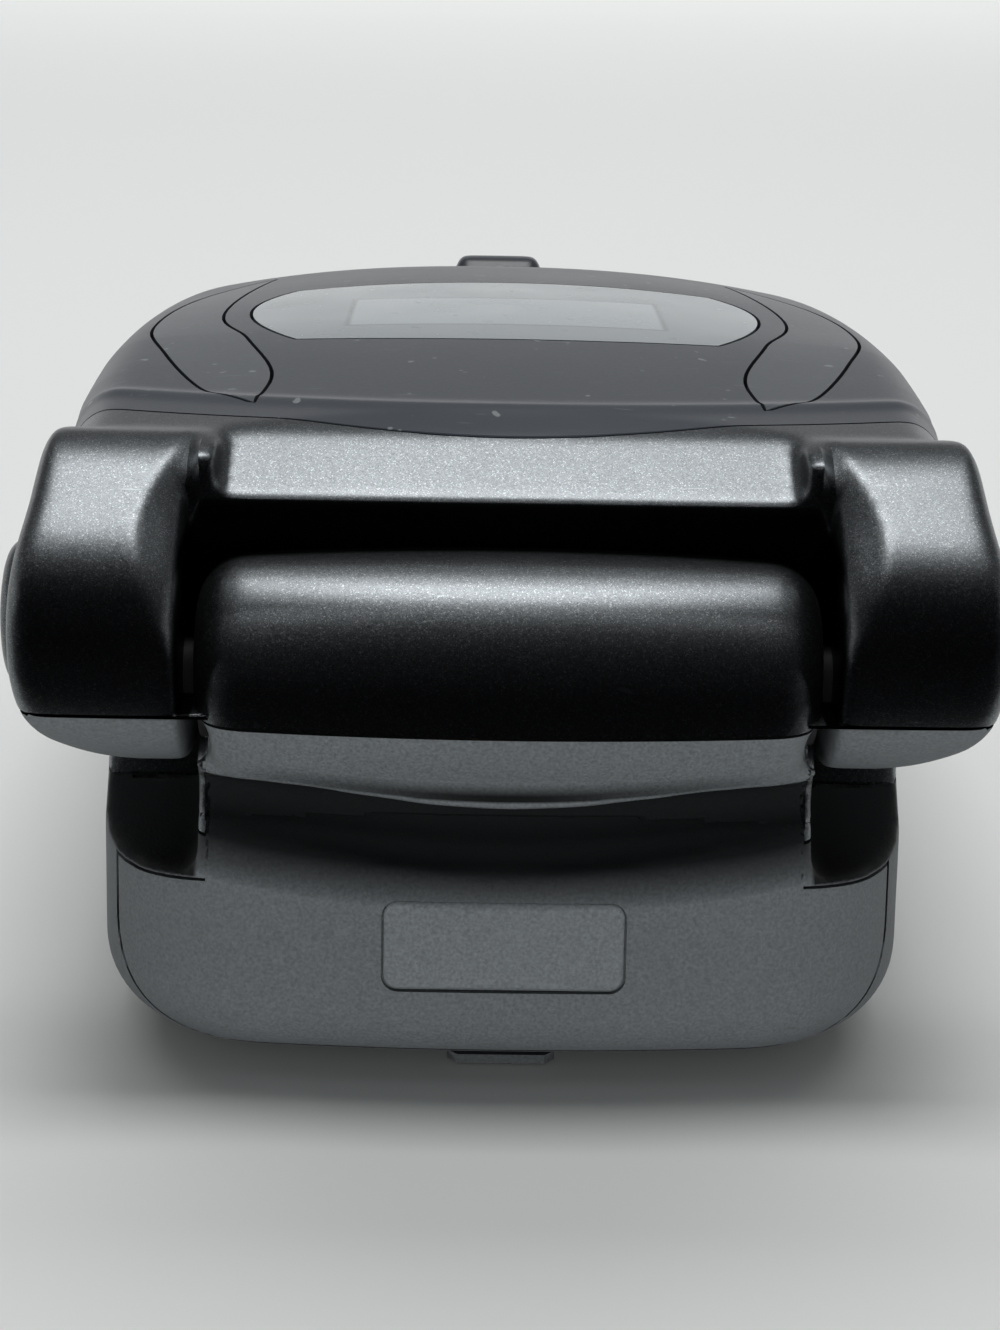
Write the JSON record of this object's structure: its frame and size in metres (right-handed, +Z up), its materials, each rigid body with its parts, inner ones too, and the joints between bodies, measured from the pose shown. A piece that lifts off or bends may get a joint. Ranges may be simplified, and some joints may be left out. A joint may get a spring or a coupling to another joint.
{
  "type": "flip phone",
  "caption": "Closed clamshell mobile phone lying on its back, with a hinged lid, outer window, sprung keys, side rocker, battery latch and removable battery pack.",
  "frame": {"origin": "bottom centre of the closed phone lying on its back", "axes": "+X along the hinge axis, +Y from the hinge end to the free end, +Z up out of the lid"},
  "size_m": [0.047, 0.086, 0.0311],
  "materials": {
    "satin_paint": "satin charcoal paint with fine mica",
    "textured_grey": "fine spark-textured dark grey moulding",
    "badge_grey": "smooth recessed plate",
    "latch_plastic": "fine texture",
    "cover_matte": "matt charcoal lid cover",
    "panel_matte": "matt panel, a little lighter than the cover",
    "tinted_window": "glossy grey tinted window",
    "clear_lens": "glossy lens with a dark printed border",
    "display_glass": "display glass, switched off",
    "white_plastic": "natural moulding",
    "circuit_board": "solder resist",
    "rubber_mat": "translucent silicone",
    "rubber_black": "matt",
    "spring_steel": "bright",
    "tinned_steel": "tin plated",
    "screw_steel": "dark plated",
    "black_plastic": "plain",
    "gold_contact": "gold plated",
    "hinge_steel": "ground",
    "hinge_acetal": "natural acetal",
    "flex_film": "amber film",
    "key_plastic": "satin silver-grey key caps",
    "nav_plastic": "satin ring"
  },
  "bodies": {
    "base": {"front_case": "satin_paint", "rear_case": "textured_grey", "end_panel": "textured_grey", "badge_plate": "badge_grey", "latch_springs": "spring_steel", "battery_contacts": "gold_contact", "main_board": "circuit_board", "keypad_mat": "rubber_mat", "key_domes": "spring_steel", "shield_can": "tinned_steel", "base_screws": "screw_steel", "antenna": "white_plastic", "ringer": "black_plastic", "vibration_motor": "tinned_steel", "microphone": "black_plastic", "headset_jack": "black_plastic", "data_connector": "tinned_steel", "hinge_cam_unit": "hinge_steel", "hinge_bush": "hinge_acetal", "hinge_flex": "flex_film"},
    "lid": {"lid_housing": "satin_paint", "lid_inner": "textured_grey", "lid_cover": "cover_matte", "outer_window": "tinted_window", "crescent_left": "panel_matte", "crescent_right": "panel_matte", "sub_display": "display_glass", "sub_display_holder": "white_plastic", "lid_board": "circuit_board", "main_display": "display_glass", "display_lens": "clear_lens", "earpiece": "black_plastic", "lid_screws": "screw_steel", "lid_bumpers": "rubber_black", "side_cap_left": "satin_paint", "side_cap_right": "satin_paint", "hinge_shaft_left": "hinge_steel", "hinge_shaft_right": "hinge_steel"},
    "battery": {"battery_pack": "textured_grey"},
    "latch": {"battery_latch": "latch_plastic"},
    "rocker": {"volume_rocker": "satin_paint"},
    "key_1_body": {"key_1": "key_plastic"},
    "key_2_body": {"key_2": "key_plastic"},
    "key_3_body": {"key_3": "key_plastic"},
    "key_4_body": {"key_4": "key_plastic"},
    "key_5_body": {"key_5": "key_plastic"},
    "key_6_body": {"key_6": "key_plastic"},
    "key_7_body": {"key_7": "key_plastic"},
    "key_8_body": {"key_8": "key_plastic"},
    "key_9_body": {"key_9": "key_plastic"},
    "key_star_body": {"key_star": "key_plastic"},
    "key_0_body": {"key_0": "key_plastic"},
    "key_hash_body": {"key_hash": "key_plastic"},
    "key_send_body": {"key_send": "key_plastic"},
    "key_end_body": {"key_end": "key_plastic"},
    "key_clear_body": {"key_clear": "key_plastic"},
    "key_soft_left_body": {"key_soft_left": "key_plastic"},
    "key_soft_right_body": {"key_soft_right": "key_plastic"},
    "nav_ring_body": {"nav_ring": "nav_plastic"},
    "ok_key_body": {"ok_key": "key_plastic"}
  },
  "joints": [
    {"name": "lid_hinge", "type": "hinge", "parent": "base", "child": "lid", "pos_m": [0, -0.03715, 0.0193], "axis": [1, 0, 0], "range_deg": [0, 145]},
    {"name": "battery_slide", "type": "slide", "parent": "base", "child": "battery", "axis": [0, 1, 0], "range_m": [0, 0.016]},
    {"name": "latch_slide", "type": "slide", "parent": "base", "child": "latch", "axis": [0, -1, 0], "range_m": [0, 0.0014], "stiffness_N_per_m": 700},
    {"name": "rocker_tilt", "type": "hinge", "parent": "base", "child": "rocker", "pos_m": [0.02005, -0.012, 0.014], "axis": [0, 0, 1], "range_deg": [-2, 2], "stiffness_Nm_per_rad": 0.3},
    {"name": "key_1_press", "type": "slide", "parent": "base", "child": "key_1_body", "axis": [0, 0, -1], "range_m": [0, 0.00035], "stiffness_N_per_m": 2500},
    {"name": "key_2_press", "type": "slide", "parent": "base", "child": "key_2_body", "axis": [0, 0, -1], "range_m": [0, 0.00035], "stiffness_N_per_m": 2500},
    {"name": "key_3_press", "type": "slide", "parent": "base", "child": "key_3_body", "axis": [0, 0, -1], "range_m": [0, 0.00035], "stiffness_N_per_m": 2500},
    {"name": "key_4_press", "type": "slide", "parent": "base", "child": "key_4_body", "axis": [0, 0, -1], "range_m": [0, 0.00035], "stiffness_N_per_m": 2500},
    {"name": "key_5_press", "type": "slide", "parent": "base", "child": "key_5_body", "axis": [0, 0, -1], "range_m": [0, 0.00035], "stiffness_N_per_m": 2500},
    {"name": "key_6_press", "type": "slide", "parent": "base", "child": "key_6_body", "axis": [0, 0, -1], "range_m": [0, 0.00035], "stiffness_N_per_m": 2500},
    {"name": "key_7_press", "type": "slide", "parent": "base", "child": "key_7_body", "axis": [0, 0, -1], "range_m": [0, 0.00035], "stiffness_N_per_m": 2500},
    {"name": "key_8_press", "type": "slide", "parent": "base", "child": "key_8_body", "axis": [0, 0, -1], "range_m": [0, 0.00035], "stiffness_N_per_m": 2500},
    {"name": "key_9_press", "type": "slide", "parent": "base", "child": "key_9_body", "axis": [0, 0, -1], "range_m": [0, 0.00035], "stiffness_N_per_m": 2500},
    {"name": "key_star_press", "type": "slide", "parent": "base", "child": "key_star_body", "axis": [0, 0, -1], "range_m": [0, 0.00035], "stiffness_N_per_m": 2500},
    {"name": "key_0_press", "type": "slide", "parent": "base", "child": "key_0_body", "axis": [0, 0, -1], "range_m": [0, 0.00035], "stiffness_N_per_m": 2500},
    {"name": "key_hash_press", "type": "slide", "parent": "base", "child": "key_hash_body", "axis": [0, 0, -1], "range_m": [0, 0.00035], "stiffness_N_per_m": 2500},
    {"name": "key_send_press", "type": "slide", "parent": "base", "child": "key_send_body", "axis": [0, 0, -1], "range_m": [0, 0.00035], "stiffness_N_per_m": 2500},
    {"name": "key_end_press", "type": "slide", "parent": "base", "child": "key_end_body", "axis": [0, 0, -1], "range_m": [0, 0.00035], "stiffness_N_per_m": 2500},
    {"name": "key_clear_press", "type": "slide", "parent": "base", "child": "key_clear_body", "axis": [0, 0, -1], "range_m": [0, 0.00035], "stiffness_N_per_m": 2500},
    {"name": "key_soft_left_press", "type": "slide", "parent": "base", "child": "key_soft_left_body", "axis": [0, 0, -1], "range_m": [0, 0.00035], "stiffness_N_per_m": 2500},
    {"name": "key_soft_right_press", "type": "slide", "parent": "base", "child": "key_soft_right_body", "axis": [0, 0, -1], "range_m": [0, 0.00035], "stiffness_N_per_m": 2500},
    {"name": "nav_ring_press", "type": "slide", "parent": "base", "child": "nav_ring_body", "axis": [0, 0, -1], "range_m": [0, 0.00035], "stiffness_N_per_m": 2500},
    {"name": "ok_key_press", "type": "slide", "parent": "base", "child": "ok_key_body", "axis": [0, 0, -1], "range_m": [0, 0.00035], "stiffness_N_per_m": 2500}
  ]
}
